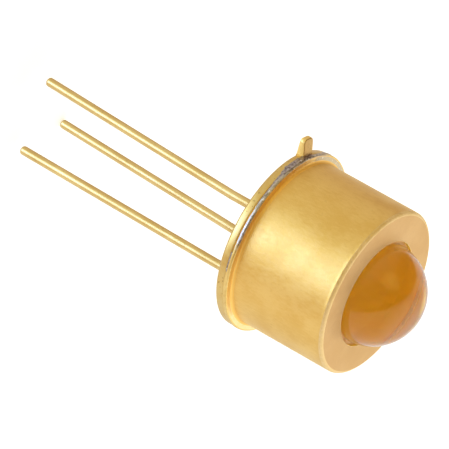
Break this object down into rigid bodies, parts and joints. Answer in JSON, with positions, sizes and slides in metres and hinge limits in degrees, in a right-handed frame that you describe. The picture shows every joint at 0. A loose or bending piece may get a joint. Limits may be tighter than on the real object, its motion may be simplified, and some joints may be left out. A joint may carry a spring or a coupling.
{
  "type": "ultraviolet led",
  "caption": "Ultraviolet LED in a gold-plated metal can with a ball lens in its front face, an index tab on the welded flange and long round leads.",
  "frame": {"origin": "centre of the seating plane, under the header flange", "axes": "+Z along the optical axis towards the lens, the cathode lead on +X, the anode lead on -Y and the case lead on +Y"},
  "size_m": [0.0092, 0.0092, 0.0222],
  "materials": {
    "can_gold": "satin",
    "header_gold": "satin",
    "lead_gold": "satin",
    "bond_gold": "polished",
    "weld_metal": "satin",
    "lens_glass": "polished",
    "base_glass": "gloss",
    "solder_glass": "gloss",
    "submount_ceramic": "matte",
    "chip_sapphire": "polished"
  },
  "bodies": {
    "root": {"header": "header_gold", "base_glass": "base_glass", "anode_lead": "lead_gold", "cathode_lead": "lead_gold", "case_lead": "lead_gold", "submount": "submount_ceramic", "bond_pads": "bond_gold", "led_chip": "chip_sapphire", "anode_bond_wire": "bond_gold", "cathode_bond_wire": "bond_gold", "cap": "can_gold", "weld_ring": "weld_metal", "ball_lens": "lens_glass", "lens_seal": "solder_glass"}
  },
  "joints": []
}
